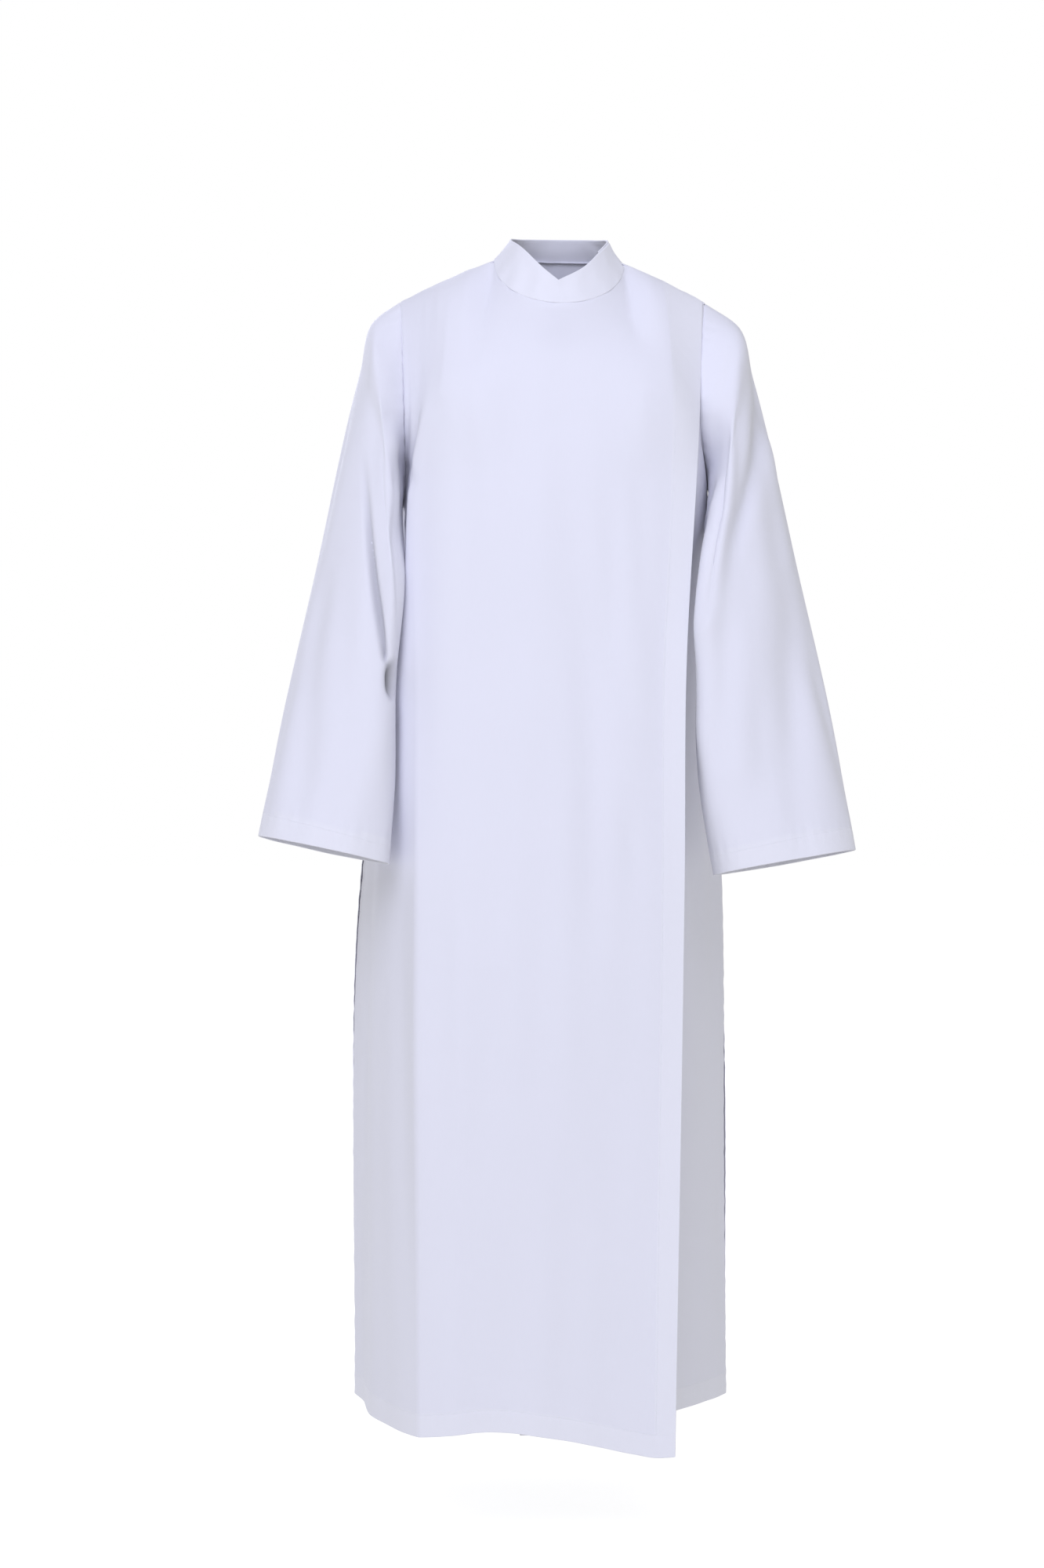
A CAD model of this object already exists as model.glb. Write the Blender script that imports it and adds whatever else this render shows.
"""The looks of an alb: a full-length white robe with a standing collar and a front that wraps over.

Each piece of cloth is a thin shell on the form that its solid has, with its creases, turned hems,
rolled seams and stitching. Lengths are in metres, except that those in the tables are in
millimetres. +Z is up, the front faces -Y and the wearer's left arm is at +X.
"""

from __future__ import annotations

import logging
import math
from collections.abc import Sequence
from dataclasses import dataclass, replace
from enum import Enum

import bpy
import numpy as np
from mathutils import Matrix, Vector
from numpy.typing import ArrayLike

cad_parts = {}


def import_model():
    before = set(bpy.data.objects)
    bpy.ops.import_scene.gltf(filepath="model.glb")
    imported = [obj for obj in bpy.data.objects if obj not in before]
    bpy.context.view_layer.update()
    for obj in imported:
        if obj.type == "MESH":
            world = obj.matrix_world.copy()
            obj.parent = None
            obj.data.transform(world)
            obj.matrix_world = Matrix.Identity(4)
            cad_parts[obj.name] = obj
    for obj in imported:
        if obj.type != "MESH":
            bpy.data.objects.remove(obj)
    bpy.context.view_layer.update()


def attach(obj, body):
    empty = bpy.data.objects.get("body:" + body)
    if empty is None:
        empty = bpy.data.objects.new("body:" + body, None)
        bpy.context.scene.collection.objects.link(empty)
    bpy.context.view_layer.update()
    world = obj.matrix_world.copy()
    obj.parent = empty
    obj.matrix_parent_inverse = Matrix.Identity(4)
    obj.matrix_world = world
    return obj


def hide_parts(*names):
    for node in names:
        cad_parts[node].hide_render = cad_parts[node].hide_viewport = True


LOG = logging.getLogger("alb")
MM = 0.001
# A hair's breadth, by which two lengths that are the same may differ
HAIR = 0.0001
BODY = "root"

# Levels down the body, which are also the knots of every line
BREAST_Z = -0.120
CHEST_Z = -0.270
WAIST_Z = -0.480
HIP_Z = -0.750
HEM_Z = -1.430
LINE_KNOTS = tuple(level / HEM_Z for level in (0.0, BREAST_Z, CHEST_Z, WAIST_Z, HIP_Z, HEM_Z))
BREAST_ROW = LINE_KNOTS[1]
CHEST_ROW = LINE_KNOTS[2]

# How sharp a pressed edge is at the chest and waist. From the hip down it is fully sharp
CHEST_SHARPNESS = 0.4
WAIST_SHARPNESS = 0.8
# How far from an armhole its corner at the underarm reaches into the cloth
UNDERARM_REACH = 0.030


def curve_through(
    knots: ArrayLike,
    points: ArrayLike,
    at: ArrayLike,
    crease: ArrayLike | None = None,
    first_slope: ArrayLike = 1.0,
) -> np.ndarray:
    """Finds points on a smooth curve through others.

    Args:
        knots: The parameter of each point that the curve goes through.
        points: Those points, one row each.
        at: The parameters of the points to find.
        crease: For each point, 0 for a smooth curve there and 1 for a corner.
        first_slope: Scales the slope with which the curve leaves its first point, on each axis.

    Returns:
        The points found, one row each.
    """
    knots = np.asarray(knots, float)
    points = np.asarray(points, float)
    widths = np.diff(knots)
    chords = np.diff(points, axis=0) / widths[:, None]
    before, after = widths[:-1, None], widths[1:, None]
    middle = (chords[:-1] * after + chords[1:] * before) / (before + after)
    slopes = np.vstack([chords[:1] * first_slope, middle, chords[-1:]])
    crease = np.zeros(len(knots)) if crease is None else np.asarray(crease, float)
    at = np.asarray(at, float)
    span = np.clip(np.searchsorted(knots, at, side="right") - 1, 0, len(widths) - 1)
    width = widths[span][:, None]
    t = (at - knots[span])[:, None] / width
    sharp_start, sharp_end = crease[span][:, None], crease[span + 1][:, None]
    leave = slopes[span] * (1 - sharp_start) + chords[span] * sharp_start
    arrive = slopes[span + 1] * (1 - sharp_end) + chords[span] * sharp_end
    return (
        points[span] * (1 + 2 * t) * (1 - t) ** 2
        + points[span + 1] * t**2 * (3 - 2 * t)
        + width * (leave * t * (1 - t) ** 2 - arrive * t**2 * (1 - t))
    )


def ease(value: np.ndarray) -> np.ndarray:
    """Rises smoothly from 0 to 1 as the value does."""
    value = np.clip(value, 0.0, 1.0)
    return value * value * (3.0 - 2.0 * value)


def lengths_along(points: np.ndarray, axis: int) -> np.ndarray:
    """Sums the distances between neighbouring points of a grid, starting from 0.

    Args:
        points: The grid of points.
        axis: The axis of the grid to go along.

    Returns:
        The length up to each point.
    """
    steps = np.linalg.norm(np.diff(points, axis=axis), axis=-1)
    start = np.zeros_like(np.take(steps, [0], axis=axis))
    return np.concatenate([start, np.cumsum(steps, axis=axis)], axis=axis)


# ---------------------------------------------------------------------------------------------
# Form


@dataclass(frozen=True)
class Line:
    """One line of a body panel, from the shoulder or neckline down to the hem.

    Its top is in degrees round the neck from its front or back, and past 90 in millimetres out
    along the shoulder. chest, waist, hip and hem are plan positions at those levels, drop is how
    far the hem hangs below its level, and crease is 0 for a smooth cloth and 1 for a pressed edge.
    """

    name: str
    top: float
    breast_x: float
    chest: tuple[float, float]
    waist: tuple[float, float]
    hip: tuple[float, float]
    hem: tuple[float, float]
    drop: float
    crease: float = 0.0


RIGHT_SIDE = (-189, (-189.5, 6), (-210, 26), (-247, 48), (-258, 62), -7)
LEFT_SIDE = (178, (190, 6), (196, 46), (212, 92), (224, 138), 10)

FRONT_LINES = (
    Line("armhole", -209, *RIGHT_SIDE),
    Line("side", -185, -172, (-182, -62), (-199, -70), (-218, -53), (-232, -52), -3),
    Line("press", -159, -150, (-174, -92), (-173, -118), (-172, -140), (-170, -165), -1, 0.9),
    Line("strip", -122, -122, (-125, -118), (-124, -138), (-123, -159), (-122, -182), -7, 0.7),
    Line("neck side", -90, -100, (-97, -126), (-96, -143), (-95, -163), (-94, -184), -10),
    Line("centre", 0, 3, (3, -135), (4, -150), (5, -167), (6, -180), -1),
    Line("far neck side", 90, 103, (103, -124), (97, -140), (94, -157), (88, -181), 15),
    Line("left chest", 140, 142, (140, -112), (130, -132), (127, -150), (118, -186), 19),
    Line("wrap edge", 189, 175.5, (169.5, -100), (157, -128), (154, -146), (141.4, -190), 17),
)

UNDER_LINES = (
    Line("armhole", 193, *LEFT_SIDE),
    Line("turn", 178, 166, (180, -60), (166, -20), (186, 30), (192, 85), 10),
    Line("seen", 150, 147, (151, -98), (142, -78), (157, -30), (152, 26), 10),
    Line("far neck side", 90, 103, (105, -115), (106, -111), (113, -96), (104, -54), 8),
    Line("centre", 0, 3, (3, -127), (10, -138), (12, -146), (5, -130), 3),
    Line("inner edge", -41, -50, (-50, -122), (-48, -137), (-45, -150), (-45, -150), 0),
)

BACK_LINES = (
    Line("left armhole", 193, *LEFT_SIDE),
    Line("left blade", 165, 155, (172, 68), (180, 108), (196, 135), (206, 172), 10),
    Line("left back", 125, 130, (134, 103), (140, 133), (150, 161), (158, 191), 8),
    Line("left of neck", 90, 103, (104, 113), (108, 139), (112, 164), (116, 189), 6),
    Line("centre", 0, 3, (0, 123), (-3, 148), (-6, 176), (-12, 204), 4),
    Line("right of neck", -90, -98, (-102, 113), (-112, 138), (-122, 164), (-138, 187), 2),
    Line("right back", -127, -128, (-136, 102), (-152, 128), (-166, 155), (-184, 180), 0),
    Line("right blade", -180, -163, (-172, 66), (-190, 86), (-216, 112), (-230, 134), -4),
    Line("right armhole", -209, *RIGHT_SIDE),
)


@dataclass(frozen=True)
class UpperBody:
    """The neckline, the shoulder line and the breast, which every body panel shares."""

    neck_centre_x: float = 0.003
    neck_half_width: float = 0.080
    neck_front: float = 0.086
    neck_back: float = 0.074
    neck_side_z: float = 0.014
    neck_front_drop: float = 0.060
    neck_back_drop: float = -0.006
    neck_squareness: float = 0.90
    shoulder_out: tuple[float, ...] = (0.000, 0.037, 0.086, 0.116, 0.135)
    shoulder_drop: tuple[float, ...] = (0.000, 0.015, 0.038, 0.054, 0.066)
    shoulder_tilt: float = 0.025
    shoulder_rounding: float = 0.6
    rounding_start: float = 85.0
    rounding_span: float = 35.0
    breast_half_width: float = 0.207
    breast_front: float = 0.112
    breast_back: float = 0.110
    breast_squareness: float = 2.5
    armhole_dip: float = 0.048
    armhole_dip_x: tuple[float, float] = (0.140, 0.178)

    def neckline(self, turn: float) -> np.ndarray:
        """Finds a point of the collar seam.

        Args:
            turn: 0 at the wearer's left and pi / 2 in front.

        Returns:
            The point.
        """
        forward = math.sin(turn)
        reach, drop = self.neck_back, self.neck_back_drop
        if forward > 0:
            reach, drop = self.neck_front, self.neck_front_drop
        x = self.neck_centre_x + self.neck_half_width * math.cos(turn)
        z = self.neck_side_z - drop * abs(forward) ** self.neck_squareness - self.shoulder_tilt * x
        return np.array([x, -reach * forward, z])

    def top_point(self, top: float, side: int) -> np.ndarray:
        """Finds where a line of a panel starts.

        Args:
            top: The line's top, as in Line.
            side: -1 for a front and 1 for the back.

        Returns:
            The point.
        """
        if abs(top) <= 90:
            return self.neckline(side * math.radians(top - 90))
        out = (abs(top) - 90) * MM
        x = self.neck_centre_x + math.copysign(self.neck_half_width + out, top)
        drop = np.interp(out, self.shoulder_out, self.shoulder_drop)
        return np.array([x, 0.0, self.neck_side_z - drop - self.shoulder_tilt * x])

    def first_slope(self, top: float) -> np.ndarray:
        """Finds how the slope at a line's top is scaled, so that the shoulder's end is rounded.

        Args:
            top: The line's top, as in Line.

        Returns:
            The scale on each axis.
        """
        share = np.clip((abs(top) - self.rounding_start) / self.rounding_span, 0, 1)
        rounding = self.shoulder_rounding * share
        return np.array([1, 1 + rounding, 1 - rounding])

    def breast_point(self, x: float, side: int) -> tuple[float, float, float]:
        """Finds the point at breast level.

        Args:
            x: Its place from side to side.
            side: -1 for a front and 1 for the back.

        Returns:
            The point.
        """
        depth = self.breast_front if side < 0 else self.breast_back
        share = 1 - abs(x / self.breast_half_width) ** self.breast_squareness
        dip = np.interp(abs(x), self.armhole_dip_x, (0, self.armhole_dip))
        return x, side * depth * share ** (1 / self.breast_squareness), BREAST_Z - dip


UPPER_BODY = UpperBody()


def unit(vectors: np.ndarray) -> np.ndarray:
    """Scales vectors to unit length."""
    return vectors / np.maximum(np.linalg.norm(vectors, axis=-1, keepdims=True), 1e-9)


class Edge(Enum):
    """The edges of a grid of cloth."""

    TOP = "top"
    HEM = "hem"
    FIRST = "first column"
    LAST = "last column"


@dataclass
class ClothGrid:
    """A sheet of cloth: a row of points for each place down it and a column for each place across.

    across and down measure those places on the flat cloth. A closed grid is a tube, whose last
    column is followed by its first, and its across has one place more than it has columns.
    grey is how much darker the cloth is at each point of its outer face, where a sharp crease
    has greyed it.
    """

    points: np.ndarray
    across: np.ndarray
    down: np.ndarray
    facing: float
    closed: bool = False
    grey: np.ndarray | None = None

    def outward(self) -> np.ndarray:
        """Finds the unit normals that point out of the robe.

        Returns:
            A normal for each point.
        """
        points = self.points
        if self.closed:
            points = np.concatenate([points[:, -1:], points, points[:, :1]], axis=1)
        normal = np.cross(np.gradient(points, axis=0), np.gradient(points, axis=1))
        if self.closed:
            normal = normal[:, 1:-1]
        return unit(normal) * self.facing

    def press(self, depth: np.ndarray) -> None:
        """Moves the cloth inwards by a depth at each point."""
        self.points = self.points - self.outward() * depth[..., None]

    def add_creases(
        self, creases: Sequence[Crease], depth: np.ndarray, share: ArrayLike = 1.0
    ) -> None:
        """Presses creases into the cloth, together with another depth, and greys it along them.

        Args:
            creases: The creases.
            depth: The other depth, at each point.
            share: How much of each crease's depth is left at each point.
        """
        outward = self.outward()
        self.grey = np.zeros_like(depth)
        for crease in creases:
            deeper, greyer = crease.at(self.points, outward)
            depth = depth + deeper * share
            self.grey = self.grey + greyer
        self.press(depth)

    def tuck_in(self, row: np.ndarray, length: float) -> None:
        """Adds a row of points before the first one, where the cloth tucks into a seam.

        Args:
            row: The new row's points.
            length: How far from the first row they lie on the flat cloth.
        """
        self.points = np.concatenate([row[None], self.points])
        self.grey = np.concatenate([self.grey[:1], self.grey])
        self.down = np.concatenate([[-length], self.down])

    def from_edge(self, edge: Edge) -> np.ndarray:
        """Measures how far each point is from an edge, along the cloth.

        Args:
            edge: The edge.

        Returns:
            The length from it to each point.
        """
        axis = 0 if edge in (Edge.TOP, Edge.HEM) else 1
        length = lengths_along(self.points, axis)
        if edge in (Edge.HEM, Edge.LAST):
            length = np.take(length, [-1], axis=axis) - length
        return length


# ---------------------------------------------------------------------------------------------
# Folds and creases


@dataclass(frozen=True)
class Fold:
    """A large soft trough in a piece, or a ridge where its depth is negative.

    start and end are (across, down), each 0 to 1 over the cloth. bow is how far its middle swings
    across, width half its width as a share of the way across, and depth is in millimetres.
    """

    name: str
    start: tuple[float, float]
    end: tuple[float, float]
    bow: float
    width: float
    depth: float
    fade_power: float = 0.8

    def depth_at(self, across: np.ndarray, down: np.ndarray, closed: bool = False) -> np.ndarray:
        """Works out how deep the fold is at each place.

        Args:
            across: Places across the cloth, 0 to 1.
            down: Places down it, 0 to 1.
            closed: Whether the cloth is a tube.

        Returns:
            A grid of depths in metres.
        """
        run = (down[:, None] - self.start[1]) / (self.end[1] - self.start[1])
        centre = self.start[0] + (self.end[0] - self.start[0]) * run
        off = across[None, :] - centre - self.bow * np.sin(np.pi * run)
        if closed:
            off = (off + 0.5) % 1.0 - 0.5
        fade = np.sin(np.pi * np.clip(run, 0, 1)) ** self.fade_power
        return self.depth * MM * fade * np.exp(-((off / self.width) ** 2))


class Facing(Enum):
    """The side that a crease is placed on, as (axis across, sign of the normal along the other)."""

    FRONT = (0, -1)
    BACK = (0, 1)
    LEFT = (1, 1)
    RIGHT = (1, -1)


# A crease begins where the cloth's normal points this far towards the crease's side, and is at its
# full depth where the normal points further that way by SEEN_OVER
SEEN_FROM = -0.05
SEEN_OVER = 0.35
# How many straight steps a crease's path has for each of its points
STEPS_PER_POINT = 14


@dataclass(frozen=True)
class Crease:
    """A crease placed by hand on one side of a piece: a trough, or a ridge if its depth is negative.

    path holds points (across, height) in millimetres as seen from that side, width is half the
    crease's width and depth its depth, in millimetres. lean tips its walls, so that one is
    steeper, and fade is the share of its length over which each end dies away. grey is how much
    darker the cloth has become along its bottom.
    """

    path: tuple[tuple[float, float], ...]
    width: float
    depth: float
    lean: float = 0.0
    fade: tuple[float, float] = (0.3, 0.3)
    facing: Facing = Facing.FRONT
    grey: float = 0.0

    def at(self, points: np.ndarray, outward: np.ndarray) -> tuple[np.ndarray, np.ndarray]:
        """Works out how deep the crease is at each point of a cloth, and how grey it is there.

        Args:
            points: The cloth's points.
            outward: Its unit normals.

        Returns:
            The depths in metres and the greys, from 0 to 1.
        """
        axis, sign = self.facing.value
        seen = ease((outward[..., 1 - axis] * sign - SEEN_FROM) / SEEN_OVER)
        place = np.stack([points[..., axis], points[..., 2]], axis=-1)
        line = np.array(self.path, float) * MM
        knots = np.concatenate([[0], np.cumsum(np.linalg.norm(np.diff(line, axis=0), axis=1))])
        fine = curve_through(knots, line, np.linspace(0, knots[-1], STEPS_PER_POINT * len(line)))
        best = np.full(place.shape[:2], np.inf)
        along = np.zeros_like(best)
        side = np.zeros_like(best)
        travelled = 0.0
        for start, end in zip(fine[:-1], fine[1:]):
            step = end - start
            length = np.linalg.norm(step)
            offset = place - start
            run = np.clip(offset @ step / length**2, 0, 1)
            gap = offset - run[..., None] * step
            distance = np.linalg.norm(gap, axis=-1)
            nearer = distance < best
            best = np.where(nearer, distance, best)
            along = np.where(nearer, travelled + run * length, along)
            turn = step[0] * offset[..., 1] - step[1] * offset[..., 0]
            side = np.where(nearer, np.sign(turn), side)
            travelled += length
        share = along / travelled
        fade_in, fade_out = self.fade
        fade = ease(share / max(fade_in, 1e-6)) * ease((1 - share) / max(fade_out, 1e-6))
        across = best / (self.width * MM)
        bottom = np.exp(-(across**2)) * fade * seen
        return self.depth * MM * bottom * (1 + self.lean * side * across), self.grey * bottom


@dataclass(frozen=True)
class Unevenness:
    """The slight waviness of cloth that hangs, as a sum of long soft waves.

    across and down give the shortest and longest waves each way, and height their usual height,
    all in metres.
    """

    seed: int
    across: tuple[float, float]
    down: tuple[float, float]
    height: float
    waves: int = 22

    def depth_at(self, across: np.ndarray, down: np.ndarray) -> np.ndarray:
        """Works out the waves' depth on a grid.

        Args:
            across: Lengths across the cloth, in metres.
            down: Lengths down it.

        Returns:
            A grid of depths in metres.
        """
        random = np.random.default_rng(self.seed)
        total = np.zeros((len(down), len(across)))
        for _ in range(self.waves):
            wave_across = math.exp(random.uniform(*np.log(self.across)))
            wave_down = math.exp(random.uniform(*np.log(self.down)))
            lean = random.choice((-1.0, 1.0))
            phase = random.uniform(0, 2 * math.pi)
            angle = across[None, :] / wave_across + lean * down[:, None] / wave_down
            total += np.cos(2 * math.pi * angle + phase)
        return total * self.height * math.sqrt(2 / self.waves)


@dataclass(frozen=True)
class Pucker:
    """The small puckers that a row of stitching draws into cloth.

    wave is the usual length of a pucker, reach how far from the stitching they die away, height
    their height and spread how far their lengths go below and above the usual one.
    """

    wave: float
    reach: float
    height: float
    spread: tuple[float, float] = (-0.5, 0.6)
    waves: int = 9

    def depth_at(self, along: np.ndarray, away: np.ndarray, seed: int) -> np.ndarray:
        """Works out the puckers' depth.

        Args:
            along: Lengths along the stitching at each point.
            away: How far each point is from it.
            seed: Makes this row's puckers its own.

        Returns:
            The depths in metres.
        """
        random = np.random.default_rng(seed)
        total = np.zeros_like(along)
        for _ in range(self.waves):
            length = self.wave * math.exp(random.uniform(*self.spread))
            total += np.cos(2 * math.pi * along / length + random.uniform(0, 2 * math.pi))
        fade = np.exp(-((away / self.reach) ** 2))
        return total / math.sqrt(self.waves) * self.height * fade


SEAM_PUCKER = Pucker(0.026, 0.012, 0.00028)
ARMHOLE_PUCKER = Pucker(0.024, 0.014, 0.00040)
HEM_PUCKER = Pucker(0.021, 0.013, 0.00030)


# ---------------------------------------------------------------------------------------------
# Shells and stitching


@dataclass(frozen=True)
class ShellSizes:
    """The thickness of the cloth and the sizes of its hems and seams.

    roll_places and edge_places are how far from a seam and from a turned edge the cloth's first
    rows of points lie, and rim_angles where its rounded edge has points.
    """

    cloth: float = 0.0007
    hem_depth: float = 0.028
    hem_swell: float = 0.00012
    stitch_inset: float = 0.0016
    stitch_sink: float = 0.00022
    stitch_reach: float = 0.0012
    roll_reach: float = 0.0035
    roll_depth: float = 0.0008
    tuck: tuple[float, float] = (0.0026, 0.0022)
    grid_step: float = 0.0052
    roll_places: tuple[float, ...] = (0.0, 0.0006, 0.0014, 0.0026, 0.0042)
    edge_places: tuple[float, ...] = (0.0006, 0.0015)
    rim_angles: tuple[float, ...] = (30.0, 90.0, 150.0)

    def stitch_line(self) -> float:
        """Says how far from a hem's edge its stitching lies."""
        return self.hem_depth - self.stitch_inset

    def hem_places(self, length: float) -> list[float]:
        """Lists where a cloth needs points for a hem at its end.

        Args:
            length: The cloth's length up to that end.

        Returns:
            The places along it.
        """
        stitch, reach = self.stitch_line(), self.stitch_reach
        stitching = (stitch - reach, stitch, stitch + reach)
        step = (self.hem_depth, self.hem_depth + reach)
        return [length - place for place in (*self.edge_places, *stitching, *step)]

    def rolled(self, away: np.ndarray) -> np.ndarray:
        """Works out how far the cloth rolls in beside a seam."""
        return self.roll_depth * np.clip(1 - away / self.roll_reach, 0, 1) ** 2

    def sunk(self, away: np.ndarray) -> np.ndarray:
        """Works out how far the cloth sinks beside a row of stitches."""
        return self.stitch_sink * np.exp(-((away / self.stitch_reach) ** 2))


SIZES = ShellSizes()


def stitch_index(places: np.ndarray) -> int:
    """Finds which place along a cloth carries the stitching of the hem at its end."""
    return int(np.argmin(np.abs(places[-1] - places - SIZES.stitch_line())))


def sheet_quads(grid: ClothGrid) -> tuple[np.ndarray, np.ndarray]:
    """Joins a grid's points with quads that face outwards.

    Args:
        grid: The grid.

    Returns:
        The quads, and the UVs of their corners in metres along the flat cloth.
    """
    rows, columns = grid.points.shape[:2]
    index = np.arange(rows * columns).reshape(rows, columns)
    left = np.arange(columns if grid.closed else columns - 1)
    right = (left + 1) % columns
    upper, lower = index[:-1], index[1:]
    quads = np.stack([upper[:, left], lower[:, left], lower[:, right], upper[:, right]], axis=-1)
    start, end = grid.across[left], grid.across[left + 1]
    across = np.stack([start, start, end, end], axis=-1)
    down = np.stack([grid.down[:-1], grid.down[1:], grid.down[1:], grid.down[:-1]], axis=-1)
    uvs = np.stack(np.broadcast_arrays(across[None], down[:, None]), axis=-1)
    quads, uvs = quads.reshape(-1, 4), uvs.reshape(-1, 4, 2)
    if grid.facing < 0:
        quads, uvs = quads[:, ::-1], uvs[:, ::-1]
    return quads, uvs


def edge_loops(grid: ClothGrid) -> list[tuple[np.ndarray, np.ndarray, bool]]:
    """Lists a grid's edges.

    Args:
        grid: The grid.

    Returns:
        For each edge, the numbers of its points, those of the points beside them, and whether a
        strip along it has to be turned over to face outwards.
    """
    rows, columns = grid.points.shape[:2]
    index = np.arange(rows * columns).reshape(rows, columns)
    loops = [(index[0], index[1], True), (index[-1], index[-2], False)]
    if not grid.closed:
        loops += [(index[:, 0], index[:, 1], False), (index[:, -1], index[:, -2], True)]
    return loops


def shell_object(
    name: str, grid: ClothGrid, outer: np.ndarray, inner: np.ndarray, layers: np.ndarray
) -> bpy.types.Object:
    """Makes a thin shell of cloth with rounded edges from a grid.

    Args:
        name: The piece's name.
        grid: The middle of the cloth, whose grey is known.
        outer: How far its outer face lies outside the grid, at each point.
        inner: How far its inner face lies inside it.
        layers: 0 where the cloth is single and 1 where it is turned or doubled.

    Returns:
        The new object, with UVs in metres along the flat cloth.
    """
    outward = grid.outward()
    outside = (grid.points + outward * outer[..., None]).reshape(-1, 3)
    inside = (grid.points - outward * inner[..., None]).reshape(-1, 3)
    count = len(outside)
    quads, uv = sheet_quads(grid)
    vertices = [outside, inside]
    faces, uvs = [quads, quads[:, ::-1] + count], [uv, uv[:, ::-1]]
    layers, grey = layers.reshape(-1), grid.grey.reshape(-1)
    doubled, greyed = [layers, layers], [grey, np.zeros(count)]

    points, normal = grid.points.reshape(-1, 3), outward.reshape(-1, 3)
    middle, thick = (outside + inside) / 2, (outer + inner).reshape(-1) / 2
    columns = grid.points.shape[1]
    flat = np.stack(np.broadcast_arrays(grid.across[None, :columns], grid.down[:, None]), axis=-1)
    flat = flat.reshape(-1, 2)
    base = 2 * count
    for edge, beside, flipped in edge_loops(grid):
        away = unit(points[edge] - points[beside])
        rings = [edge]
        for angle in np.radians(SIZES.rim_angles):
            swing = away * np.sin(angle) + normal[edge] * np.cos(angle)
            vertices.append(middle[edge] + swing * thick[edge][:, None])
            doubled.append(layers[edge])
            greyed.append(grey[edge])
            rings.append(base + np.arange(len(edge)))
            base += len(edge)
        rings.append(edge + count)
        step = np.arange(len(edge))
        follow = np.roll(step, -1) if grid.closed else step[1:]
        first = step[: len(follow)]
        place = flat[edge]
        for one, other in zip(rings[:-1], rings[1:]):
            strip = np.stack([one[first], one[follow], other[follow], other[first]], axis=-1)
            strip_uv = np.stack([place[first], place[follow], place[follow], place[first]], axis=1)
            if flipped != (grid.facing > 0):
                strip, strip_uv = strip[:, ::-1], strip_uv[:, ::-1]
            faces.append(strip)
            uvs.append(strip_uv)

    masks = {"layers": np.concatenate(doubled), "grey": np.concatenate(greyed)}
    vertices, faces, uvs = (np.concatenate(items) for items in (vertices, faces, uvs))
    return mesh_object(name, vertices, faces, uvs, masks)


def hemmed_shell(name: str, grid: ClothGrid, turned: np.ndarray) -> bpy.types.Object:
    """Makes a shell of cloth whose hems are turned up on the inside.

    Args:
        name: The piece's name.
        grid: The middle of its single cloth.
        turned: 1 where it is turned up and 0 elsewhere.

    Returns:
        The new object.
    """
    half = np.full(turned.shape, SIZES.cloth / 2)
    outer, inner = half + turned * SIZES.hem_swell, half + turned * SIZES.cloth
    return shell_object(name, grid, outer, inner, turned)


def hem_face(grid: ClothGrid) -> np.ndarray:
    """Finds the outer face of a grid's cloth as it is at a turned hem, where stitches lie."""
    return grid.points + grid.outward() * (SIZES.cloth / 2 + SIZES.hem_swell)


def mesh_object(
    name: str,
    vertices: np.ndarray,
    faces: np.ndarray,
    uvs: np.ndarray | None = None,
    masks: dict[str, np.ndarray] | None = None,
) -> bpy.types.Object:
    """Makes an object from arrays of vertices and quads.

    Args:
        name: The object's name.
        vertices: Its vertices.
        faces: Its quads, as rows of four vertex numbers.
        uvs: The UVs of each quad's corners.
        masks: Named values from 0 to 1, one for each vertex, that its material reads.

    Returns:
        The new object, linked to the scene and shaded smooth.
    """
    mesh = bpy.data.meshes.new(name)
    mesh.vertices.add(len(vertices))
    mesh.vertices.foreach_set("co", np.ascontiguousarray(vertices, np.float32).ravel())
    mesh.loops.add(faces.size)
    mesh.loops.foreach_set("vertex_index", np.ascontiguousarray(faces, np.int32).ravel())
    mesh.polygons.add(len(faces))
    mesh.polygons.foreach_set("loop_start", np.arange(0, faces.size, 4, dtype=np.int32))
    if uvs is not None:
        layer = mesh.uv_layers.new(name="cloth")
        layer.data.foreach_set("uv", np.ascontiguousarray(uvs, np.float32).ravel())
    for mask, values in (masks or {}).items():
        attribute = mesh.attributes.new(mask, "FLOAT", "POINT")
        attribute.data.foreach_set("value", np.ascontiguousarray(values, np.float32))
    mesh.update(calc_edges=True)
    mesh.validate()
    mesh.shade_smooth()
    piece = bpy.data.objects.new(name, mesh)
    bpy.context.scene.collection.objects.link(piece)
    return piece


# A path and its normals for each row of stitches
StitchRows = list[tuple[np.ndarray, np.ndarray]]


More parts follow.
